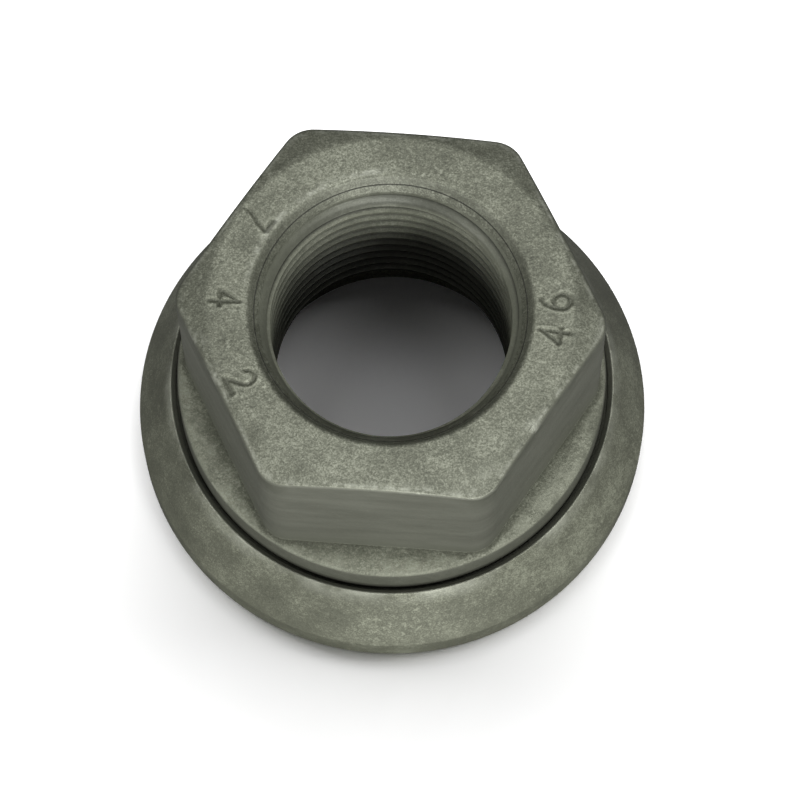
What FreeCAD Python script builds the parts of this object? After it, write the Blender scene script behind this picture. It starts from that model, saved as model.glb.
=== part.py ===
import FreeCAD, Part
import os
import Sketcher

# Truck wheel nut with a captive pressure washer, in millimetres.
# The origin is the centre of the washer's bearing face, and +Z runs up the thread's axis.
# Two opposite flats of the hexagon face -Y and +Y.

drivingSizes = [
    # thread and bore of the nut
    ("threadMajor", 22.0, "major diameter of the thread"),
    ("threadPitch", 1.5, "pitch of the thread"),
    ("mouthSpread", 0.85, "radius of the upper countersink beyond the thread's major radius"),
    ("mouthAngle", 60.0, "slope of the upper countersink from level, degrees"),
    ("sinkAngle", 30.0, "slope of the countersink below the thread from level, degrees"),
    ("reliefSpread", 1.1, "radius of the bore below the thread beyond the major radius"),
    ("reliefDepth", 8.4, "height of the unthreaded part above the neck's end"),
    # hexagon of the nut
    ("acrossFlats", 32.0, "wrench size"),
    ("hexagonHeight", 15.6, "height of the hexagon above the collar"),
    ("chamferInset", 0.5, "how far inside the flats the conical chamfer starts"),
    ("chamferAngle", 15.0, "slope of the conical chamfer from level, degrees"),
    ("cornerRound", 2.6, "radius of the six upright corners"),
    ("edgeBevel", 0.4, "bevel along the hexagon's upper edge, below the chamfer"),
    ("rootRound", 0.25, "hollow radius between hexagon and collar"),
    # collar, seat and neck of the nut
    ("collarStep", 0.63, "how far the collar stands out beyond the hexagon's corners"),
    ("collarSide", 3.3, "height of the collar's upright side"),
    ("collarEdge", 0.3, "bevel on the collar's upper edge"),
    ("collarBevel", 0.7, "bevel under the collar"),
    ("seatHeight", 7.4, "height of the conical seat's outer edge above the bearing face"),
    ("seatAngle", 20.0, "slope of the conical seat from level, degrees"),
    ("neckWall", 1.1, "wall of the neck that passes through the washer"),
    ("flareSpread", 1.1, "how far the neck's end is flared outwards"),
    ("flareHeight", 1.5, "height of the flared part"),
    ("neckLift", 0.8, "height of the neck's end above the bearing face"),
    # washer
    ("skirtSpread", 3.0, "how far the rim stands out beyond the lip"),
    ("rimHeight", 2.7, "height of the washer's upright rim"),
    ("rimRound", 0.4, "radius on the rim's upper edge"),
    ("footBevel", 0.3, "bevel on the rim's lower edge"),
    ("lipRise", 0.5, "height of the lip above the foot of the collar's side"),
    ("lipLand", 0.15, "width of the flat on top of the lip"),
    ("lipBevel", 0.35, "bevel inside the lip"),
    # clearances between nut and washer
    ("collarGap", 0.3, "radial gap between the collar and the lip"),
    ("seatGap", 0.1, "upright gap between the two conical seats"),
    ("neckGap", 0.3, "radial gap between the neck and the washer's bore"),
    ("flareGap", 1.2, "radial gap between the flared end and the washer's recess"),
    ("playGap", 0.6, "upright gap between the flared part and the recess's ceiling"),
]


def total(names):
    """Expression for the sum of some driving sizes."""
    return "(" + " + ".join(f"Sizes.{name}" for name in names) + ")"


def slope(name):
    """Expression for the rise per millimetre of an angle given in degrees."""
    return f"tan(Sizes.{name} * 1deg)"


# Heights above the bearing face.
collarTopParts = ("seatHeight", "collarBevel", "collarSide")
flareTopParts = ("neckLift", "flareHeight")
seatTop = "Sizes.seatHeight"
collarFoot = total(("seatHeight", "collarBevel"))
collarTop = total(collarTopParts)
topFace = total(collarTopParts + ("hexagonHeight",))
threadEnd = total(("neckLift", "reliefDepth"))
flareTop = total(flareTopParts)
lipTop = total(("seatHeight", "collarBevel", "lipRise"))
recessTop = total(flareTopParts + ("playGap",))
aboveAll = f"(2 * {topFace})"

# Radii about the thread's axis. The minor radius follows the basic metric profile.
majorRadius = "Sizes.threadMajor / 2"
minorRadius = f"({majorRadius} - 1.0825 * Sizes.threadPitch / 2)"
mouthRadius = f"({majorRadius} + Sizes.mouthSpread)"
reliefRadius = f"({majorRadius} + Sizes.reliefSpread)"
neckRadius = f"({reliefRadius} + Sizes.neckWall)"
flareRadius = f"({neckRadius} + Sizes.flareSpread)"
sharpCorner = "(Sizes.acrossFlats / sqrt(3))"
roundedCorner = f"({sharpCorner} - Sizes.cornerRound * (2 / sqrt(3) - 1))"
collarRadius = f"({roundedCorner} + Sizes.collarStep)"
seatRadius = f"({collarRadius} - Sizes.collarBevel)"
boreRadius = f"({neckRadius} + Sizes.neckGap)"
recessRadius = f"({flareRadius} + Sizes.flareGap)"
lipRadius = f"({collarRadius} + Sizes.collarGap)"
lipEdge = f"({lipRadius} + Sizes.lipBevel)"
rimRadius = f"({lipEdge} + Sizes.lipLand + Sizes.skirtSpread)"


def makeSheet(doc):
    """Spreadsheet with one named cell for each driving size."""
    sheet = doc.addObject("Spreadsheet::Sheet", "Sizes")
    for row, (alias, value, note) in enumerate(drivingSizes, start=1):
        sheet.set(f"A{row}", note)
        sheet.set(f"B{row}", str(value))
        sheet.setAlias(f"B{row}", alias)
    doc.recompute()
    return sheet


def heightOf(sheet, names):
    """Present value of the sum of some driving sizes."""
    return sum(sheet.get(name) for name in names)


def makeBody(doc, label):
    """Empty body whose label names the piece."""
    body = doc.addObject("PartDesign::Body", label.replace("_", " ").title().replace(" ", ""))
    body.Label = label
    return body


def makeSketch(body, name, role):
    """Empty sketch on the body's own origin plane that has this role."""
    sketch = body.newObject("Sketcher::SketchObject", name)
    plane = next(item for item in body.Origin.OriginFeatures if item.Role == role)
    sketch.AttachmentSupport = [(plane, "")]
    sketch.MapMode = "FlatFace"
    return sketch


def addPolygon(sketch, corners):
    """Closed chain of lines through these points. Returns the lines' numbers."""
    count = len(corners)
    lines = [sketch.addGeometry(Part.LineSegment(corners[i], corners[(i + 1) % count]), False)
             for i in range(count)]
    for i in range(count):
        sketch.addConstraint(Sketcher.Constraint("Coincident", lines[i], 2, lines[(i + 1) % count], 1))
    return lines


def bindCorner(sketch, line, way, expression):
    """Ties one coordinate of a line's first end to an expression, or puts it on the axis."""
    if expression == "0":
        axis = {"X": -2, "Y": -1}[way]
        sketch.addConstraint(Sketcher.Constraint("PointOnObject", line, 1, axis))
        return
    start = sketch.getPoint(line, 1)
    now = {"X": start.x, "Y": start.y}[way]
    number = sketch.addConstraint(Sketcher.Constraint("Distance" + way, -1, 1, line, 1, now))
    sketch.setExpression(f"Constraints[{number}]", expression)


def turn(body, name, profile, cut=False):
    """Revolves a closed profile about the Z axis, to add material or to cut it away.

    Each corner of the profile is a pair of expressions, its radius and its height. The lines
    start on a plain regular polygon, and the bound distances pull their ends into place."""
    sketch = makeSketch(body, name + "Profile", "XZ_Plane")
    centre = FreeCAD.Vector(20, 20, 0)
    ring = Part.makeCircle(5, centre).discretize(len(profile) + 1)
    lines = addPolygon(sketch, ring[:-1])
    for line, (radius, height) in zip(lines, profile):
        bindCorner(sketch, line, "X", radius)
        bindCorner(sketch, line, "Y", height)
    feature = body.newObject("PartDesign::Groove" if cut else "PartDesign::Revolution", name)
    feature.Profile = sketch
    feature.ReferenceAxis = (sketch, ["V_Axis"])
    feature.Angle = 360.0
    body.Document.recompute()


def dressEdges(body, kind, name, sizeAlias, wanted):
    """Fillet or chamfer on those edges of the body's last feature that the test picks."""
    base = body.Tip
    picked = [f"Edge{i}" for i, edge in enumerate(base.Shape.Edges, start=1) if wanted(edge)]
    feature = body.newObject("PartDesign::" + kind, name)
    feature.Base = (base, picked)
    feature.setExpression({"Fillet": "Radius", "Chamfer": "Size"}[kind], f"Sizes.{sizeAlias}")
    body.Document.recompute()


def isUpright(edge):
    """A straight edge along Z."""
    return edge.Curve.TypeId == "Part::GeomLine" and abs(edge.tangentAt(edge.FirstParameter).z) > 0.999


def isBetween(low, high):
    """Test for an edge, not upright, whose ends both lie between two heights."""
    def test(edge):
        return not isUpright(edge) and all(low < end.Z < high for end in edge.Vertexes)
    return test


def isHexagonFoot(height):
    """Test for a piece of the hexagon's outline at this height, which whole circles aren't."""
    def test(edge):
        level = all(abs(end.Z - height) < 0.01 for end in edge.Vertexes)
        return level and len(edge.Vertexes) == 2
    return test


def isOuterRing(body, height):
    """Test for the widest whole circle about the Z axis at this height."""
    def level(edge):
        isCircle = edge.Curve.TypeId == "Part::GeomCircle" and len(edge.Vertexes) == 1
        return isCircle and abs(edge.Curve.Center.z - height) < 0.01
    widest = max(edge.Curve.Radius for edge in body.Tip.Shape.Edges if level(edge))

    def test(edge):
        return level(edge) and edge.Curve.Radius > widest - 0.01
    return test


def raiseHexagon(body):
    """Hexagonal prism from the collar's upper face to the top."""
    sketch = makeSketch(body, "HexagonOutline", "XY_Plane")
    sketch.setExpression("AttachmentOffset.Base.z", collarTop)
    corners = Part.makeCircle(18).discretize(7)
    lines = addPolygon(sketch, corners[:-1])
    circle = sketch.addGeometry(Part.Circle(FreeCAD.Vector(0, 0, 0), FreeCAD.Vector(0, 0, 1), 18), True)
    sketch.addConstraint(Sketcher.Constraint("Coincident", circle, 3, -1, 1))
    radius = sketch.addConstraint(Sketcher.Constraint("Radius", circle, 18))
    sketch.setExpression(f"Constraints[{radius}]", sharpCorner)
    for line in lines:
        sketch.addConstraint(Sketcher.Constraint("PointOnObject", line, 1, circle))
    for line in lines[1:]:
        sketch.addConstraint(Sketcher.Constraint("Equal", lines[0], line))
    sketch.addConstraint(Sketcher.Constraint("PointOnObject", lines[0], 1, -1))
    pad = body.newObject("PartDesign::Pad", "Hexagon")
    pad.Profile = sketch
    pad.setExpression("Length", "Sizes.hexagonHeight")
    body.Document.recompute()


def cutChamfer(body):
    """Conical chamfer, which cuts deepest at the hexagon's corners."""
    start = "(Sizes.acrossFlats / 2 - Sizes.chamferInset)"
    beyond = "Sizes.acrossFlats"
    turn(body, "TopChamfer", [
        (start, topFace),
        (beyond, aboveAll),
        (beyond, f"{topFace} - ({beyond} - {start}) * {slope('chamferAngle')}"),
    ], cut=True)


def turnCollar(body):
    """Collar, conical seat, neck and flared end, still solid inside."""
    turn(body, "Collar", [
        ("0", collarTop),
        (f"{collarRadius} - Sizes.collarEdge", collarTop),
        (collarRadius, f"{collarTop} - Sizes.collarEdge"),
        (collarRadius, collarFoot),
        (seatRadius, seatTop),
        (neckRadius, f"{seatTop} - ({seatRadius} - {neckRadius}) * {slope('seatAngle')}"),
        (neckRadius, flareTop),
        (flareRadius, "Sizes.neckLift"),
        ("0", "Sizes.neckLift"),
    ])


def cutBore(body):
    """Bore at the thread's minor diameter, countersunk above, with the neck's wider bore below."""
    turn(body, "Bore", [
        ("0", aboveAll),
        (mouthRadius, aboveAll),
        (mouthRadius, topFace),
        (minorRadius, f"{topFace} - ({mouthRadius} - {minorRadius}) * {slope('mouthAngle')}"),
        (minorRadius, threadEnd),
        (reliefRadius, f"{threadEnd} - ({reliefRadius} - {minorRadius}) * {slope('sinkAngle')}"),
        (reliefRadius, flareTop),
        (f"{reliefRadius} + Sizes.flareSpread", "Sizes.neckLift"),
        (f"{reliefRadius} + Sizes.flareSpread", f"-{aboveAll}"),
        ("0", f"-{aboveAll}"),
    ], cut=True)


def makeNut(doc, sheet):
    """Nut: hexagon with rounded corners and conical chamfer, collar with neck below it, and bore."""
    body = makeBody(doc, "nut_body")
    collarHeight = heightOf(sheet, collarTopParts)
    topHeight = collarHeight + sheet.hexagonHeight
    raiseHexagon(body)
    dressEdges(body, "Fillet", "CornerRound", "cornerRound", isUpright)
    cutChamfer(body)
    upperEdges = isBetween(collarHeight + 0.01, topHeight - 0.01)
    dressEdges(body, "Chamfer", "UpperEdgeBevel", "edgeBevel", upperEdges)
    turnCollar(body)
    cutBore(body)
    dressEdges(body, "Fillet", "RootRound", "rootRound", isHexagonFoot(collarHeight))
    return body


def makeWasher(doc, sheet):
    """Captive washer: conical outside, lip round the collar, conical seat, recessed bearing face."""
    body = makeBody(doc, "captive_washer")
    seatLine = f"({seatTop} - Sizes.seatGap)"
    turn(body, "Ring", [
        (f"{rimRadius} - Sizes.footBevel", "0"),
        (rimRadius, "Sizes.footBevel"),
        (rimRadius, "Sizes.rimHeight"),
        (f"{lipEdge} + Sizes.lipLand", lipTop),
        (lipEdge, lipTop),
        (lipRadius, f"{lipTop} - Sizes.lipBevel"),
        (lipRadius, f"{seatLine} + ({lipRadius} - {seatRadius}) * {slope('seatAngle')}"),
        (boreRadius, f"{seatLine} - ({seatRadius} - {boreRadius}) * {slope('seatAngle')}"),
        (boreRadius, recessTop),
        (recessRadius, recessTop),
        (recessRadius, "0"),
    ])
    dressEdges(body, "Fillet", "RimRound", "rimRound", isOuterRing(body, sheet.rimHeight))
    return body


def checkDocument(doc, bodies):
    """Stops when an object failed, or when a piece isn't one valid solid."""
    for item in doc.Objects:
        if "Invalid" in item.State or "Error" in item.State:
            raise RuntimeError(f"{item.Name} failed: {item.State}")
    for body in bodies:
        shape = body.Shape
        if shape.isNull() or not shape.isValid() or len(shape.Solids) != 1:
            raise RuntimeError(f"{body.Label} is not one valid solid")


def main():
    doc = FreeCAD.newDocument("WheelNut")
    sheet = makeSheet(doc)
    bodies = [makeNut(doc, sheet), makeWasher(doc, sheet)]
    doc.recompute()
    checkDocument(doc, bodies)
    os.makedirs("parts", exist_ok=True)
    for body in bodies:
        body.Shape.exportStep(f"parts/{body.Label}.step")
        box = body.Shape.BoundBox
        print(body.Label, round(body.Shape.Volume, 1), "mm3", round(box.XLength, 2),
              round(box.YLength, 2), round(box.ZLength, 2))


main()
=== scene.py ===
import math

import bpy
import numpy as np
from mathutils import Matrix, Vector


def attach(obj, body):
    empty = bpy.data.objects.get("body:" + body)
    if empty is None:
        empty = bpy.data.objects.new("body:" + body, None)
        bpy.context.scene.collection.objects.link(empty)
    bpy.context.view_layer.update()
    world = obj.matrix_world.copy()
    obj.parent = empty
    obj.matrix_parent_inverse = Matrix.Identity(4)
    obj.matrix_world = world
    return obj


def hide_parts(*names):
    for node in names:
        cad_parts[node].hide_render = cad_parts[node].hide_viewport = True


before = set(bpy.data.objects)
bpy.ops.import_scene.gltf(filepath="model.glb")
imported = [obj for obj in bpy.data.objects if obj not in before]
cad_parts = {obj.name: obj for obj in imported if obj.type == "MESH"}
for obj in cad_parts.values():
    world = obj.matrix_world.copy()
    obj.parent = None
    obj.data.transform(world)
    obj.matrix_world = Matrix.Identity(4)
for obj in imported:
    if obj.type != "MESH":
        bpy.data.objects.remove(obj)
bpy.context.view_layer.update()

# Wheel nut with a captive pressure washer. Sizes are in millimetres here and become metres
# where a mesh is made. The origin is the centre of the washer's bearing face.
millimetre = 0.001


def hump(away, width):
    # Smooth bump: e to the minus square of distance over width.
    return np.exp(-((away / width) ** 2))


def fade(value, start, reach):
    # Nought up to the start, one past the start and the reach, and straight between.
    return np.clip((value - start) / reach, 0, 1)


def columnAngles(count, dense, share):
    # Angles round the axis, closer together near the given ones. The density is one plus a
    # smooth hump at each dense angle, and the angles are equal steps of its running sum.
    fine = np.linspace(0.0, 2 * np.pi, 7201)
    density = np.ones_like(fine)
    for degrees in dense:
        away = np.angle(np.exp(1j * (fine - math.radians(degrees))))
        density += share / (1 + (away / math.radians(6.2)) ** 12)
    running = np.concatenate([[0], np.cumsum((density[1:] + density[:-1]) / 2)])
    return np.interp(np.arange(count) / count * running[-1], running, fine)


nut = {
    "acrossFlats": 32.0,
    "cornerRadius": 2.6,      # upright corners of the hexagon
    "topHeight": 27.0,
    "chamferStart": 15.5,     # radius where the conical chamfer leaves the top face
    "chamferAngle": 15.0,     # degrees from level
    "upperEdge": 0.40,        # soft edge between chamfer and flats
    "rootRadius": 0.06,       # hollow where the flats meet the collar
    "collarTop": 11.4,
    "collarRadius": 18.703,
    "collarFoot": 8.1,
    "collarEdge": 0.45,
    "seamShadeTop": 9.0,           # height where the painted shade of the seam beside the washer's lip begins
    "seamShadeReach": 0.25,        # height over which it darkens fully
    "seatRadius": 18.003,
    "seatHeight": 7.4,
    "neckRadius": 13.2,
    "neckTop": 5.652,
    "flareTop": 2.3,
    "flareRadius": 14.3,
    "neckEnd": 0.8,
    "reliefRadius": 12.1,
    "mouthRadius": 11.85,
    "mouthSlope": math.tan(math.radians(60)),    # countersink above the thread
    "reliefSlope": math.tan(math.radians(30)),   # countersink below it
    "mouthLedge": (11.43, 26.27),                # radius and height of the fine ledge inside the mouth
    "mouthRound": 0.42,       # soft edge between top face and mouth
    "threadRing": 11.06,      # radius in both countersinks where the thread's rows begin and end
    "topRows": 31,            # rings of the top face, which carry the stamped figures
    "topRings": (12.25, 12.5, 15.15),            # radii of the inmost one, the next and the last
    "columns": 460,
    # bright spots on the hexagon's upper edge, partly worn coat and partly painted highlight: angle and
    # half width in degrees, and reach
    "wornSpots": [(301, 4.5, 1.0), (322, 3.0, 0.5), (283, 4.0, 0.35), (194, 3.0, 0.5), (206, 2.5, 0.4)],
}


def mouthHeight(radius):
    # Height of the countersink above the thread at a radius.
    return nut["topHeight"] - (nut["mouthRadius"] - radius) * nut["mouthSlope"]


def sinkHeight(radius):
    # Height of the countersink below the thread at a radius.
    return thread["end"] - (radius - thread["minorRadius"]) * nut["reliefSlope"]


def hexagonRadius(angle, acrossFlats, cornerRadius):
    # Distance from the axis to the hexagon's side, with flats facing +Y and -Y. On a flat it is
    # half the width over the cosine of the angle from the flat's middle. On a corner the ray
    # meets an arc whose centre lies on the corner's own line.
    third = math.radians(60)
    fromFlat = np.mod(angle - math.pi / 2 + third / 2, third) - third / 2
    inner = acrossFlats / 2 - cornerRadius
    tangent = math.atan(inner * math.tan(third / 2) / (acrossFlats / 2))
    flat = acrossFlats / 2 / np.cos(fromFlat)
    fromCorner = third / 2 - np.abs(fromFlat)
    centre = inner / math.cos(third / 2)
    offset = centre * np.sin(fromCorner)
    arc = centre * np.cos(fromCorner) + np.sqrt(np.maximum(cornerRadius ** 2 - offset ** 2, 0))
    return np.where(np.abs(fromFlat) > tangent, arc, flat)


def softenProfile(corners, columns, steps=5):
    # Rows of a section with rounded corners. Each corner is a radius, a height and a rounding,
    # which may differ from column to column. The arc touches both neighbouring lines: its ends
    # lie at rounding over the tangent of the half angle, and its points turn evenly between.
    full = [np.stack([np.broadcast_to(np.asarray(v, float), columns) for v in corner], 1)
            for corner in corners]
    rows = []
    for before, here, after in zip(full[-1:] + full[:-1], full, full[1:] + full[:1]):
        point = here[:, :2]
        rounding = here[:, 2:3]
        if rounding.max() <= 0:
            rows.append(point)
            continue
        toBefore = before[:, :2] - point
        toAfter = after[:, :2] - point
        toBefore /= np.linalg.norm(toBefore, axis=1, keepdims=True)
        toAfter /= np.linalg.norm(toAfter, axis=1, keepdims=True)
        angle = np.arccos(np.clip((toBefore * toAfter).sum(1, keepdims=True), -1, 1))
        middle = toBefore + toAfter
        middle /= np.linalg.norm(middle, axis=1, keepdims=True)
        centre = point + middle * rounding / np.sin(angle / 2)
        first = point + toBefore * rounding / np.tan(angle / 2) - centre
        last = point + toAfter * rounding / np.tan(angle / 2) - centre
        turn = math.pi - angle
        for part in np.linspace(0, 1, steps):
            rows.append(centre + (first * np.sin((1 - part) * turn) + last * np.sin(part * turn))
                        / np.sin(turn))
    return np.stack(rows)


def cellFaces(a, b, c, d):
    # Two triangles for each cell, from four tables of its corners' point numbers. Cells that have
    # shrunk to a line or a point give triangles with a repeated number, which are left out.
    faces = np.concatenate([np.stack([a, b, c], -1).reshape(-1, 3),
                            np.stack([a, c, d], -1).reshape(-1, 3)])
    whole = (faces[:, 0] != faces[:, 1]) & (faces[:, 1] != faces[:, 2]) & (faces[:, 2] != faces[:, 0])
    return faces[whole]


def gridFaces(ids, closeRows):
    # Faces of a table of point numbers, whose columns close on themselves.
    lower = np.roll(ids, -1, axis=0) if closeRows else ids[1:]
    upper = ids if closeRows else ids[:-1]
    return cellFaces(upper, lower, np.roll(lower, -1, axis=1), np.roll(upper, -1, axis=1))


def addPiece(name, points, faces, attributes, sharpAngle):
    # Mesh object at the origin, smooth but for edges that bend by more than the given angle.
    mesh = bpy.data.meshes.new(name)
    mesh.vertices.add(len(points))
    mesh.vertices.foreach_set("co", np.ascontiguousarray(points * millimetre, dtype=np.float32).ravel())
    mesh.loops.add(3 * len(faces))
    mesh.loops.foreach_set("vertex_index", faces.astype(np.int32).ravel())
    mesh.polygons.add(len(faces))
    mesh.polygons.foreach_set("loop_start", np.arange(0, 3 * len(faces), 3, dtype=np.int32))
    mesh.update(calc_edges=True)
    mesh.validate()
    mesh.polygons.foreach_set("use_smooth", np.ones(len(mesh.polygons), dtype=bool))
    mesh.set_sharp_from_angle(angle=math.radians(sharpAngle))
    for label, values in attributes.items():
        layer = mesh.attributes.new(label, "FLOAT", "POINT")
        layer.data.foreach_set("value", np.ascontiguousarray(values, dtype=np.float32))
    piece = bpy.data.objects.new(name, mesh)
    bpy.context.scene.collection.objects.link(piece)
    return piece


marks = {
    "height": 2.35,           # along the radius
    "width": 1.35,
    "radius": 13.85,          # middle of each figure
    "groove": 0.27,           # half the width of a stroke
    "depth": 0.16,
    "burr": 0.018,            # height of the burr beside a stroke
    "burrAway": 0.36,         # its distance from the middle of the stroke
    "burrWidth": 0.1,
    # figure, and its angle in degrees; the tops point to the bore
    "figures": [("4", -5.2), ("6", 7.0), ("7", 148.2), ("4", 180.0), ("2", 211.0)],
}


def strokesOf(figure):
    # Polylines of a plain figure in a box one wide and one high, centred on the middle.
    if figure == "6":
        around = np.radians(np.linspace(0, 360, 25))
        rise = np.radians(np.linspace(0, 90, 9))
        return [np.stack([0.46 * np.cos(around), 0.3 * np.sin(around) - 0.2], 1),
                np.stack([0.3 - 0.76 * np.cos(rise), 0.7 * np.sin(rise) - 0.2], 1)]
    if figure == "4":
        return [np.array([(0.22, -0.5), (0.22, 0.5), (-0.5, -0.2), (0.5, -0.2)])]
    if figure == "7":
        return [np.array([(-0.45, 0.5), (0.45, 0.5), (0.25, 0.12), (-0.05, -0.2), (-0.12, -0.5)])]
    bow = np.radians(np.linspace(165, -35, 13))
    top = np.stack([0.46 * np.cos(bow), 0.2 + 0.3 * np.sin(bow)], 1)
    return [np.concatenate([top, [(-0.48, -0.5), (0.5, -0.5)]])]


def strokeDistance(points, lines):
    # Shortest distance from each point to a polyline: the foot on each run is kept between the
    # run's ends.
    best = np.full(points.shape[:-1], 1e3)
    for line in lines:
        for start, end in zip(line[:-1], line[1:]):
            run = end - start
            part = np.clip(((points - start) @ run) / (run @ run), 0, 1)
            foot = start + part[..., None] * run
            best = np.minimum(best, np.linalg.norm(points - foot, axis=-1))
    return best


def markDepth(radius, angle):
    # Shares of the full stamping depth and of the full burr at each point of the top face. A
    # stroke is a rounded groove, one minus the square of distance over half width, squared.
    groove = np.zeros(np.broadcast(radius, angle).shape)
    burr = np.zeros_like(groove)
    for figure, degrees in marks["figures"]:
        away = np.angle(np.exp(1j * (angle - math.radians(degrees))))
        across = away * marks["radius"] + 0 * radius
        local = np.stack([across, marks["radius"] - radius + 0 * away], -1)
        lines = [line * (marks["width"], marks["height"]) for line in strokesOf(figure)]
        distance = strokeDistance(local, lines)
        part = np.clip(1 - (distance / marks["groove"]) ** 2, 0, 1) ** 2
        groove = np.maximum(groove, part)
        burr = np.maximum(burr, hump(distance - marks["burrAway"], marks["burrWidth"]))
    return groove, burr


thread = {
    "minorRadius": 10.188,
    "depth": 0.812,
    "pitch": 1.5,
    "end": 9.2,               # height where the thread runs out into the relief bore
    "start": 0.15,            # height by which the thread is turned on its helix
    # rows of one turn: height above the turn's start, and share of the full depth
    "rows": [(0.0, 0.0), (0.06, -0.02), (0.315, -0.02), (0.375, 0.0),
             (0.609, 0.5), (0.844, 0.97), (0.938, 1.0), (1.031, 0.97), (1.266, 0.5)],
}


def threadSurface(angle, low, high):
    # Helicoid rows of the right-hand thread. A row's height is its place in the turn plus one
    # pitch a turn, so that crests and roots run along the rows. Rows are cut off at the two
    # ends, and the radius is the larger of the thread's and the two end cones'. The last two
    # results are the share of the full depth by which a row lies below the crests or the cone,
    # and how far a row is on the upper countersink, which is halved towards the mouth.
    pitch = thread["pitch"]
    turns = int(math.ceil((high - low) / pitch)) + 2
    place = np.array([k * pitch + up for k in range(-2, turns) for up, share in thread["rows"]])
    share = np.array([share for k in range(-2, turns) for up, share in thread["rows"]])
    height = low + thread["start"] + place[:, None] + pitch * angle[None, :] / (2 * np.pi)
    radius = thread["minorRadius"] + thread["depth"] * np.broadcast_to(share[:, None], height.shape)
    upperCone = nut["mouthRadius"] - (nut["topHeight"] - height) / nut["mouthSlope"]
    lowerCone = thread["minorRadius"] + (thread["end"] - height) / nut["reliefSlope"]
    cones = np.maximum(upperCone, lowerCone)
    below = (radius - np.maximum(cones, thread["minorRadius"])) / thread["depth"]
    coneEnd = mouthHeight(thread["minorRadius"])
    onCone = fade(height, coneEnd, 0.3) * (1 - 0.5 * fade(height, coneEnd + 1, 0.3))
    return height, np.maximum(radius, cones), np.clip(below, 0, 1), onCone


def nutSection(angle, side, edgeHeight):
    # Rows of the nut's section, and the number of the row where the upper countersink begins.
    # The section runs out over the top face, down the outside, in under the neck, up the relief
    # bore and, past the thread's own rows, up the countersink and over the rounded mouth.
    top, collarTop = nut["topHeight"], nut["collarTop"]
    slope = math.tan(math.radians(nut["chamferAngle"]))
    hexagonHeight = top - collarTop
    inmost, first, last = nut["topRings"]
    topRadii = np.concatenate([[inmost], np.linspace(first, last, nut["topRows"] - 1)])
    outer = [(radius, top, 0) for radius in topRadii]
    outer.append((nut["chamferStart"], top, 0))
    for part in (0.25, 0.5, 0.75):
        radius = nut["chamferStart"] + part * (side - 0.3 - nut["chamferStart"])
        outer.append((radius, top - (radius - nut["chamferStart"]) * slope, 0))
    shoulderWidth = nut["collarRadius"] - nut["collarEdge"] - 0.12 - side
    ring = nut["threadRing"]
    outer += [(side, edgeHeight, nut["upperEdge"]),
              (side, top - 0.3 * hexagonHeight, 0),
              (side, top - 0.7 * hexagonHeight, 0),
              (side, collarTop, nut["rootRadius"]),
              (side + 0.12 + 0.15 * shoulderWidth, collarTop - 0.003, 0),
              (side + 0.12 + 0.6 * shoulderWidth, collarTop - 0.01, 0),
              (nut["collarRadius"], collarTop - 0.03, nut["collarEdge"]),
              (nut["collarRadius"], nut["seamShadeTop"], 0),
              (nut["collarRadius"], nut["seamShadeTop"] - nut["seamShadeReach"], 0),
              (nut["collarRadius"], nut["collarFoot"], 0.1),
              (nut["seatRadius"], nut["seatHeight"], 0.1),
              (nut["neckRadius"], nut["neckTop"], 0.25),
              (nut["neckRadius"], nut["flareTop"], 0.3),
              (nut["flareRadius"], nut["neckEnd"], 0.15),
              (nut["reliefRadius"] + 1.1, nut["neckEnd"], 0.15),
              (nut["reliefRadius"], nut["flareTop"], 0.3),
              (nut["reliefRadius"], sinkHeight(nut["reliefRadius"]), 0.2),
              (ring, sinkHeight(ring), 0)]
    # the countersink meets the rounded mouth in a fine turned ledge
    ledgeRadius, ledgeHeight = nut["mouthLedge"]
    mouth = [(ring, mouthHeight(ring), 0),
             (ledgeRadius - 0.04, ledgeHeight - 0.07, 0),
             (ledgeRadius, ledgeHeight, 0),
             (ledgeRadius + 0.05, ledgeHeight + 0.01, 0),
             (ledgeRadius + 0.10, ledgeHeight + 0.04, 0),
             (ledgeRadius + 0.14, ledgeHeight + 0.11, 0),
             (nut["mouthRadius"] + 0.10, top, nut["mouthRound"])]
    section = softenProfile(outer + mouth, len(angle))
    roundRows = 5      # an arc has five rows where a plain corner has one
    return section, len(section) - len(mouth) - roundRows + 1


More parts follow.
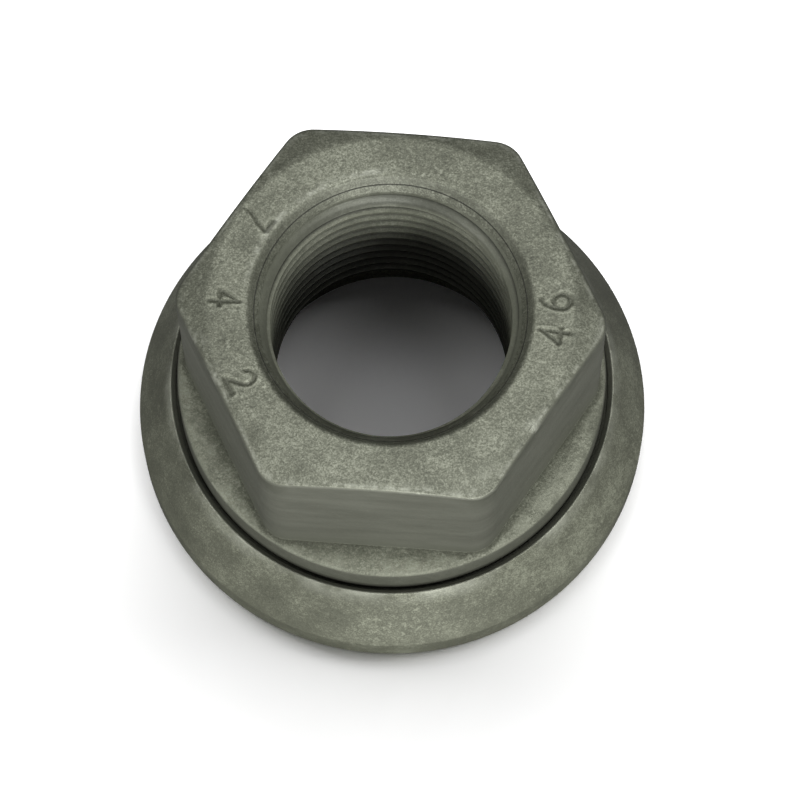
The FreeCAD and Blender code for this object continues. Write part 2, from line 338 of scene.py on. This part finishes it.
def nutPaint(radius, height, angle, side, edgeHeight, upperRow):
    # Shares from nought to one on the plain section's points, which steer the finish: where the coat is
    # worn, where painted highlight and painted shade go, and which face is which.
    top, collarTop, collarRadius = nut["topHeight"], nut["collarTop"], nut["collarRadius"]
    turned = np.degrees(angle)
    inward = side - radius
    upperEdge = height > edgeHeight - 0.3
    # a bright line along the hexagon's upper edge, partly worn coat and partly painted highlight
    wear = 0.7 * hump(inward - 0.36, 0.13) * upperEdge
    for degrees, half, reach in nut["wornSpots"]:
        wear = np.maximum(wear, hump(turned - degrees, half) * hump(inward - 0.35, reach) * upperEdge)
    # an arc of bright spots outside the mouth, at its far left, partly worn coat and partly painted
    # highlight
    window = fade(turned, 88, 10) * fade(176 - turned, 0, 12)
    wear = np.maximum(wear, window * hump(radius - 12.4, 0.22) * (height > top - 0.3))

    # painted shade on the soft upper edge, weaker at the front, where the light falls on it
    front = fade(-np.sin(angle), 0.87, 0.05)
    edge = hump(inward, 0.2) * hump(height - edgeHeight + 0.4, 0.4) * (1 - 0.7 * front)
    # painted shade in the hollow where the flats meet the collar and along the collar's rounded edge,
    # where the finish is also rougher
    root = hump(height - collarTop, 0.3) * hump(inward, 0.35)
    fromEdge = np.hypot(radius - collarRadius + 0.13, height - collarTop + 0.16)
    onCollar = radius > collarRadius - 0.2
    seamShadeDepth = fade(nut["seamShadeTop"] - height, 0, nut["seamShadeReach"])
    # painted shade: the ledge's own rows are a dark line, and the rows past it are the lip of the
    # mouth, which is darkened
    mouthShadeLine = np.zeros_like(radius)
    mouthShadeLine[upperRow + 2:upperRow + 4] = 1
    lip = np.zeros_like(radius)
    lip[upperRow + 4:] = fade(12.15 - radius[upperRow + 4:], 0, 0.3)
    # painted shade on the first rows of the countersink
    cone = np.zeros_like(radius)
    cone[upperRow:upperRow + 2] = 0.5
    return {
        "wear": wear,
        "edge": edge,
        "slope": (radius > nut["chamferStart"] - 0.05) * (height > edgeHeight - 0.1),
        "flank": np.clip(1.6 - np.abs(radius - side) / 0.12, 0, 1) * (height > collarTop + 0.04),
        "root": np.maximum(root, 0.6 * hump(fromEdge, 0.25)),
        "shoulder": (np.abs(height - collarTop) < 0.2) * (inward < -0.5),
        "collar": onCollar * (height < collarTop - 0.25),
        "seam": onCollar * seamShadeDepth * (height > nut["collarFoot"] - 0.2),
        "hollow": mouthShadeLine,
        "lip": lip,
        "cone": cone,
    }


def makeNut():
    # Nut: each angle has its own distance to the hexagon's side, and the thread's rows go in
    # between the two rings where the plain section breaks off in the bore.
    count = nut["columns"]
    angle = columnAngles(count, [degrees for figure, degrees in marks["figures"]], 3.2)
    side = hexagonRadius(angle, nut["acrossFlats"], nut["cornerRadius"])
    slope = math.tan(math.radians(nut["chamferAngle"]))
    edgeHeight = nut["topHeight"] - (side - nut["chamferStart"]) * slope
    section, upperRow = nutSection(angle, side, edgeHeight)
    radius, height = section[..., 0], section[..., 1].copy()

    stamp, burr = np.zeros_like(radius), np.zeros_like(radius)
    onTop = slice(nut["topRows"])
    stamp[onTop], burr[onTop] = markDepth(radius[onTop], angle[None, :])
    height[onTop] += marks["burr"] * burr[onTop] - marks["depth"] * stamp[onTop]
    paint = nutPaint(radius, height, angle, side, edgeHeight, upperRow)
    paint.update(stamp=stamp, burr=burr)

    # thread rows, cut off at the two rings, whose points their ends share
    low, high = sinkHeight(nut["threadRing"]), mouthHeight(nut["threadRing"])
    boreHeight, boreRadius, boreDepth, boreCone = threadSurface(angle, low, high)
    lowIds = (upperRow - 1) * count + np.arange(count)
    highIds = upperRow * count + np.arange(count)
    ids = radius.size + np.arange(boreHeight.size).reshape(boreHeight.shape)
    ids = np.where(boreHeight <= low, lowIds[None, :], ids)
    ids = np.where(boreHeight >= high, highIds[None, :], ids)
    # the last column meets the first one turn higher
    perTurn = len(thread["rows"])
    nextColumn = np.roll(ids, -1, axis=1)
    nextColumn[:, -1] = np.concatenate([ids[perTurn:, 0], np.full(perTurn, highIds[0])])
    bore = cellFaces(ids[:-1], ids[1:], nextColumn[1:], nextColumn[:-1])

    plainIds = np.arange(radius.size).reshape(radius.shape)
    faces = np.concatenate([gridFaces(plainIds[:upperRow], False),
                            gridFaces(np.concatenate([plainIds[upperRow:], plainIds[:1]]), False),
                            bore])
    radii = np.concatenate([radius.ravel(), boreRadius.ravel()])
    heights = np.concatenate([height.ravel(), np.clip(boreHeight, low, high).ravel()])
    angles = np.concatenate([np.tile(angle, len(radius)), np.tile(angle, len(boreHeight))])
    points = np.stack([radii * np.cos(angles), radii * np.sin(angles), heights], 1)
    used = np.zeros(len(points), bool)
    used[faces.ravel()] = True
    number = np.cumsum(used) - 1

    boreValues = {"hollow": boreDepth, "cone": boreCone}
    blank = np.zeros(boreHeight.size)
    attributes = {}
    for label, values in paint.items():
        attributes[label] = np.concatenate([values.ravel(), boreValues.get(label, blank).ravel()])
    attributes["threaded"] = np.concatenate([np.zeros(radius.size), blank + 1])
    # painted light on the bore's left and right walls
    attributes["sideways"] = attributes["threaded"] * np.cos(angles) ** 2
    # painted shade on the countersink and the mouth's lip, deeper on the far side
    farSide = np.clip(np.sin(angles), 0, 1)
    attributes["cone"] = attributes["cone"] * (0.6 + 0.4 * farSide)
    attributes["lip"] = attributes["lip"] * (0.7 + 0.3 * farSide)
    attributes = {label: values[used] for label, values in attributes.items()}
    return addPiece("nut_shell", points[used], number[faces], attributes, 38)


washer = {
    "rimRadius": 22.503,
    "rimTop": 2.7,
    "lipTop": 8.6,
    "lipOuter": 19.503,
    "lipInner": 19.353,
    "lipWall": 19.003,
    "lipFoot": 8.25,
    "seatOuter": 7.664,
    "seatEdge": (18.003, 7.3),    # radius and height where the nut's seat ends
    "boreRadius": 13.5,
    "seatInner": 5.661,
    "recessRadius": 15.5,
    "recessTop": 2.9,
    "gapShadeFoot": 5.0,           # height above which the inside takes the painted shade of the gap
    "columns": 360,
}


def makeWasher():
    # Washer: one turned section, the same at every angle. It runs from the foot of the rim in
    # under the washer, up the recess and the bore, out over the seat and up the lip, and down
    # the cone to the rim. Each corner is a radius, a height and a rounding.
    count = washer["columns"]
    angle = np.arange(count) * 2 * np.pi / count
    rim, rimTop = washer["rimRadius"], washer["rimTop"]
    lip, lipTop = washer["lipOuter"], washer["lipTop"]
    bore, recess = washer["boreRadius"], washer["recessRadius"]
    corners = [(rim, 0.0, 0.3),
               (recess, 0.0, 0.15),
               (recess, washer["recessTop"], 0.3),
               (bore, washer["recessTop"], 0.2),
               (bore, washer["seatInner"], 0.2),
               (*washer["seatEdge"], 0),
               (washer["lipWall"], washer["seatOuter"], 0.15),
               (washer["lipWall"], washer["lipFoot"], 0.05),
               (washer["lipInner"], lipTop, 0.05),
               (lip, lipTop, 0.05)]
    for part in (0.75, 0.5, 0.25):
        corners.append((rim + (lip - rim) * part, rimTop + (lipTop - rimTop) * part, 0))
    corners.append((rim, rimTop, 0.4))
    section = softenProfile(corners[::-1], count)
    radius, height = section[..., 0], section[..., 1]
    points = np.stack([radius * np.cos(angle), radius * np.sin(angle), height], -1).reshape(-1, 3)
    ids = np.arange(radius.size).reshape(radius.shape)
    faces = gridFaces(ids[::-1], True)
    lipWear = hump(radius - lip, 0.12) * (height > washer["lipFoot"] - 0.05)
    # painted shade on the washer's inside, in the gap beside the nut
    gap = (radius < washer["lipInner"] + 0.03) * (height > washer["gapShadeFoot"])
    rimBand = fade(radius, rim - 0.15, 0.1)
    return addPiece("washer_shell", points, faces, {
        "wear": lipWear.ravel(),
        "rim": rimBand.ravel(),
        "gap": gap.ravel(),
    }, 38)


class Wire:
    # A socket of a node tree. Sums and products of wires add their Math nodes.
    def __init__(self, tree, socket):
        self.tree = tree
        self.socket = socket

    def math(self, operation, first, second):
        node = self.tree.nodes.new("ShaderNodeMath")
        node.operation = operation
        plug(self.tree, node.inputs[0], first)
        plug(self.tree, node.inputs[1], second)
        return Wire(self.tree, node.outputs[0])

    def __add__(self, other):
        return self.math("ADD", self, other)

    def __radd__(self, other):
        return self.math("ADD", other, self)

    def __sub__(self, other):
        return self.math("SUBTRACT", self, other)

    def __rsub__(self, other):
        return self.math("SUBTRACT", other, self)

    def __mul__(self, other):
        return self.math("MULTIPLY", self, other)

    def __rmul__(self, other):
        return self.math("MULTIPLY", other, self)

    def clip(self):
        return self.math("MINIMUM", self.math("MAXIMUM", self, 0.0), 1.0)


def plug(tree, socket, value):
    # A wire is linked, and a plain number or colour is set on the socket itself.
    if isinstance(value, Wire):
        tree.links.new(value.socket, socket)
    elif isinstance(value, tuple):
        socket.default_value = (*value, 1.0)[:len(socket.default_value)]
    else:
        socket.default_value = value


class Finish:
    # The node tree of a material or of the sky, and the few calls that fill it.
    def __init__(self, owner):
        owner.use_nodes = True
        self.owner = owner
        self.tree = owner.node_tree
        self.tree.nodes.clear()

    def node(self, kind, settings=None, inputs=None, output=0):
        # A node by its kind. The stops of a ramp are set first, then the other settings, then
        # the inputs, each a wire or a constant.
        made = self.tree.nodes.new(kind)
        settings = dict(settings or {})
        for number, (position, level) in enumerate(settings.pop("stops", [])):
            elements = made.color_ramp.elements
            stop = elements[number] if number < len(elements) else elements.new(position)
            stop.position = position
            stop.color = (level, level, level, 1.0)
        for key, value in settings.items():
            setattr(made, key, value)
        for key, value in (inputs or {}).items():
            plug(self.tree, made.inputs[key], value)
        return Wire(self.tree, made.outputs[output]) if made.outputs else None

    def ramp(self, factor, stops):
        return self.node("ShaderNodeValToRGB", {"stops": stops}, {"Fac": factor})

    def noise(self, place, scale, detail, roughness):
        return self.node("ShaderNodeTexNoise", {"noise_dimensions": "3D"},
                         {"Vector": place, "Scale": scale, "Detail": detail, "Roughness": roughness})

    def attribute(self, name):
        return self.node("ShaderNodeAttribute", {"attribute_name": name}, output="Fac")

    def mixColour(self, factor, first, second):
        return self.node("ShaderNodeMix", {"data_type": "RGBA"}, {0: factor, 6: first, 7: second}, 2)


steel = {
    "base": (0.208, 0.218, 0.165),
    "dark": (0.098, 0.104, 0.077),
    "light": (0.46, 0.48, 0.38),
    "flank": (0.106, 0.110, 0.086),
    "flankLight": (0.212, 0.218, 0.178),
    "collar": (0.085, 0.089, 0.069),
    # colour of the painted shade on the countersink
    "cone": (0.055, 0.058, 0.046),
    "bright": (0.62, 0.64, 0.54),
    # colours of the painted shade in hollows and in the gap beside the nut
    "hollow": (0.018, 0.019, 0.014),
    "gap": (0.11, 0.114, 0.092),
    "washerBase": (0.162, 0.169, 0.125),
    "washerLight": (0.376, 0.395, 0.301),
    "washerDark": (0.089, 0.094, 0.070),
    "metallic": 0.35,
}


def granularSteel(finish, place, base, light, dark, level):
    # Fine crystalline coat: two sizes of grain over soft blotches and clouds, and scattered
    # bright flecks that gather in clusters.
    grain = finish.noise(place, 6800.0, 2.0, 0.7)
    speck = finish.noise(place, 2300.0, 3.0, 0.65)
    blotch = finish.noise(place, 330.0, 4.0, 0.6)
    cloud = finish.noise(place, 80.0, 3.0, 0.55)
    tone = (blotch - 0.5) * 0.75 + (cloud - 0.5) * 0.7 + (speck - 0.5) * 0.9 * level
    tone = tone + (grain - 0.5) * 1.9 * level
    colour = finish.mixColour((tone * -1.7).clip(), base, dark)
    colour = finish.mixColour((tone * 1.7).clip(), colour, light)
    cluster = finish.ramp(finish.noise(place, 150.0, 3.0, 0.6), [(0.45, 0.0), (0.62, 1.0)])
    fleck = finish.ramp(finish.noise(place, 2000.0, 3.0, 0.7), [(0.57, 0.0), (0.63, 1.0)])
    colour = finish.mixColour((cluster * fleck * level * 0.8).clip(), colour, light)
    return colour, grain, speck, blotch


def nutFinish():
    finish = Finish(bpy.data.materials.new("nut_steel_grained"))
    place = finish.node("ShaderNodeTexCoord", output="Object")
    stamp, burr, wear = finish.attribute("stamp"), finish.attribute("burr"), finish.attribute("wear")
    flank, collar = finish.attribute("flank"), finish.attribute("collar")
    threaded, edge = finish.attribute("threaded"), finish.attribute("edge")
    light, dark = steel["light"], steel["dark"]
    calm = 1 - flank * 0.8 - threaded * 0.6 - collar * 0.5
    colour, grain, speck, blotch = granularSteel(finish, place, steel["base"], light, dark, calm)
    # flats are smoother and streaked along the hexagon, and painted light makes them a little lighter
    # towards the top
    level = finish.node("ShaderNodeSeparateXYZ", inputs={"Vector": place}, output="Z")
    upper = (level * 64 - 0.73).clip()
    streak = finish.node("ShaderNodeMapping", inputs={"Vector": place, "Scale": (0.35, 0.35, 1.6)})
    streaks = finish.noise(streak, 420.0, 3.0, 0.6)
    lit = (streaks * 1.1 - 0.42 + upper * 0.5).clip()
    flat = finish.mixColour(lit, steel["flank"], steel["flankLight"])
    colour = finish.mixColour((flank * 0.92).clip(), colour, flat)
    colour = finish.mixColour((collar * 0.75).clip(), colour, steel["collar"])
    # painted shade on the collar's foot, in the seam beside the washer's lip
    colour = finish.mixColour((finish.attribute("seam") * 0.5).clip(), colour, steel["hollow"])
    # bright line along the hexagon's upper edge, broken by the grain, partly worn coat and partly
    # painted highlight, on a soft edge darkened by painted shade
    broken = finish.ramp(finish.noise(place, 520.0, 3.0, 0.7), [(0.44, 0.0), (0.56, 1.0)])
    colour = finish.mixColour((finish.attribute("slope") * 0.22).clip(), colour, dark)
    # painted shade on the soft upper edge
    colour = finish.mixColour((edge * (1.1 - broken * 0.5) * 0.75).clip(), colour, dark)
    colour = finish.mixColour((wear * (broken + 0.1) * 0.62).clip(), colour, steel["bright"])
    colour = finish.mixColour((burr * broken * 0.35).clip(), colour, light)
    # painted shade in the stamped grooves
    colour = finish.mixColour((stamp * 0.5).clip(), colour, dark)
    shoulder = finish.attribute("shoulder") * (broken + 0.3)
    colour = finish.mixColour((shoulder * 0.32).clip(), colour, light)
    # painted shade in the hollow under the flats and along the collar's edge
    root = finish.attribute("root")
    colour = finish.mixColour((root * 0.6).clip(), colour, dark)
    # painted shade on the mouth's lip and the countersink
    colour = finish.mixColour((finish.attribute("lip") * 0.6).clip(), colour, steel["collar"])
    colour = finish.mixColour((finish.attribute("cone") * 0.8).clip(), colour, steel["cone"])
    # painted shade: the thread is darker further in, and nearly black in its grooves and along the
    # ledge inside the mouth
    depthShade = (level * -170 + 3.5).clip()
    # painted light on the bore's left and right walls
    colour = finish.mixColour((finish.attribute("sideways") * 0.22).clip(), colour, light)
    colour = finish.mixColour((threaded * depthShade * 0.75).clip(), colour, steel["hollow"])
    hollow = finish.ramp(finish.attribute("hollow"), [(0.22, 0.0), (0.5, 1.0)])
    colour = finish.mixColour(hollow * (0.85 + depthShade * 0.1), colour, steel["hollow"])
    height = grain * 0.4 * calm + speck * 0.8 * calm + blotch * 1.4
    bump = finish.node("ShaderNodeBump", inputs={
        "Strength": 0.22, "Distance": 0.0003, "Height": height}, output="Normal")
    rough = (0.52 + (speck - 0.5) * 0.25 - wear * 0.1 - threaded * 0.06 + root * 0.45).clip()
    shader = finish.node("ShaderNodeBsdfPrincipled", inputs={
        "Base Color": colour, "Metallic": steel["metallic"], "Roughness": rough, "Normal": bump})
    finish.node("ShaderNodeOutputMaterial", inputs={"Surface": shader})
    return finish.owner


def washerFinish():
    finish = Finish(bpy.data.materials.new("washer_steel_grained"))
    place = finish.node("ShaderNodeTexCoord", output="Object")
    wear, rim = finish.attribute("wear"), finish.attribute("rim")
    light = steel["washerLight"]
    colour, grain, speck, blotch = granularSteel(
        finish, place, steel["washerBase"], light, steel["washerDark"], 0.7 - rim * 0.3)
    broken = finish.ramp(finish.noise(place, 220.0, 3.0, 0.6), [(0.42, 0.0), (0.6, 1.0)])
    colour = finish.mixColour((wear * broken * 0.4).clip(), colour, steel["bright"])
    # painted shade in the gap beside the nut
    colour = finish.mixColour((finish.attribute("gap") * 0.8).clip(), colour, steel["gap"])
    height = grain * 0.3 + speck * 0.6 + blotch
    bump = finish.node("ShaderNodeBump", inputs={
        "Strength": 0.18, "Distance": 0.0003, "Height": height}, output="Normal")
    rough = (0.5 + (speck - 0.5) * 0.2 - wear * 0.1).clip()
    shader = finish.node("ShaderNodeBsdfPrincipled", inputs={
        "Base Color": colour, "Metallic": steel["metallic"], "Roughness": rough, "Normal": bump})
    finish.node("ShaderNodeOutputMaterial", inputs={"Surface": shader})
    return finish.owner


stage = {
    "floorSize": 4.0,
    "floorBounce": 0.12,      # grey that the object sees
    "skyLevel": 0.12,
    "lens": 179.03814,
    "cameraPlace": (0.010451936, -0.113977739, 0.338685708),
    "cameraRight": (0.9971413532, 0.0754858262, -0.0033183964),
    "cameraUp": (-0.0703710284, 0.943776272, 0.3230081528),
    # lamps on the object: direction, distance, size and irradiance
    "objectLamps": {
        "overhead": ((0.05, 0.08, 0.99), 0.7, 0.2, 0.34),
        "front": ((0.19, -0.94, 0.25), 0.8, 0.32, 0.76),
        "fill_left": ((-0.72, -0.64, 0.33), 0.8, 0.3, 0.265),
        "fill_right": ((0.66, -0.64, 0.45), 0.8, 0.3, 0.25),
    },
    # lamps on the floor: half a ring behind the object, whose angles are in degrees, and two more
    "ringAngles": (25, 55, 85, 115, 145),
    "ringRise": 1.035,
    "ringIrradiance": 0.38,
    "floorLamps": {
        "floor_right": ((0.34, 0.12, 0.94), 0.7, 0.25, 0.13),
        "floor_left": ((-0.34, 0.12, 0.94), 0.7, 0.25, 0.12),
    },
}


def makeFloor():
    half = stage["floorSize"] / 2
    mesh = bpy.data.meshes.new("floor")
    mesh.from_pydata([(-half, -half, 0), (half, -half, 0), (half, half, 0), (-half, half, 0)],
                     [], [(0, 1, 2, 3)])
    floor = bpy.data.objects.new("floor", mesh)
    bpy.context.scene.collection.objects.link(floor)
    finish = Finish(bpy.data.materials.new("floor_paper"))
    seen = finish.node("ShaderNodeLightPath", output="Is Camera Ray")
    shown = finish.mixColour(seen, (stage["floorBounce"],) * 3, (1.0, 1.0, 1.0))
    paper = finish.node("ShaderNodeBsdfDiffuse", inputs={"Color": shown})
    # past the shadow's reach the camera sees plain white
    place = finish.node("ShaderNodeTexCoord", output="Object")
    away = finish.node("ShaderNodeVectorMath", {"operation": "LENGTH"}, {0: place}, "Value")
    white = finish.node("ShaderNodeEmission", inputs={"Color": (1.0, 1.0, 1.0), "Strength": 1.0})
    past = seen * (away * 20 - 2).clip()
    mixed = finish.node("ShaderNodeMixShader", inputs={0: past, 1: paper, 2: white})
    finish.node("ShaderNodeOutputMaterial", inputs={"Surface": mixed})
    mesh.materials.append(finish.owner)
    return floor


def makeSky():
    world = bpy.data.worlds.new("sky")
    bpy.context.scene.world = world
    finish = Finish(world)
    seen = finish.node("ShaderNodeLightPath", output="Is Camera Ray")
    pale = (1.0, 1.0, 1.0)
    plain = finish.node("ShaderNodeBackground", inputs={"Color": pale, "Strength": stage["skyLevel"]})
    white = finish.node("ShaderNodeBackground", inputs={"Color": pale, "Strength": 1.0})
    mixed = finish.node("ShaderNodeMixShader", inputs={0: seen, 1: plain, 2: white})
    finish.node("ShaderNodeOutputWorld", inputs={"Surface": mixed})


def makeLamp(name, towards, distance, size, irradiance, lit):
    # Square softbox that gives about this irradiance, over pi, on a face turned towards it.
    # A flat lamp's radiance is its power over pi and its area. It lights the given things.
    lamp = bpy.data.lights.new(name, "AREA")
    lamp.shape = "SQUARE"
    lamp.size = size
    lamp.energy = irradiance * math.pi ** 2 * distance ** 2
    piece = bpy.data.objects.new(name, lamp)
    direction = Vector(towards).normalized()
    piece.location = direction * distance + Vector((0, 0, 0.014))
    piece.rotation_euler = direction.to_track_quat("Z", "Y").to_euler()
    bpy.context.scene.collection.objects.link(piece)
    group = bpy.data.collections.new(name + "_lights")
    for thing in lit:
        group.objects.link(thing)
    piece.light_linking.receiver_collection = group


def makeCamera():
    camera = bpy.data.cameras.new("camera")
    camera.lens = stage["lens"]
    camera.sensor_width = 36.0
    camera.clip_start = 0.01
    piece = bpy.data.objects.new("camera", camera)
    right, up = Vector(stage["cameraRight"]), Vector(stage["cameraUp"])
    turn = Matrix((right, up, right.cross(up))).transposed()
    piece.matrix_world = Matrix.Translation(stage["cameraPlace"]) @ turn.to_4x4()
    bpy.context.scene.collection.objects.link(piece)
    bpy.context.scene.camera = piece


nutShell = makeNut()
nutShell.data.materials.append(nutFinish())
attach(nutShell, "nut")
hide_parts("nut_body")
print("nut made with", len(nutShell.data.polygons), "faces")

washerShell = makeWasher()
washerShell.data.materials.append(washerFinish())
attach(washerShell, "washer")
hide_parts("captive_washer")
print("washer made with", len(washerShell.data.polygons), "faces")

makeCamera()
floor = makeFloor()
makeSky()
for name, values in stage["objectLamps"].items():
    makeLamp(name, *values, (nutShell, washerShell))
for place, degrees in enumerate(stage["ringAngles"]):
    around = math.radians(degrees)
    towards = (math.cos(around), math.sin(around), stage["ringRise"])
    makeLamp("floor_" + str(place), towards, 0.7, 0.25, stage["ringIrradiance"], (floor,))
for name, values in stage["floorLamps"].items():
    makeLamp(name, *values, (floor,))
bpy.context.scene.view_settings.view_transform = "Standard"
print("stage, lamps and camera are set")
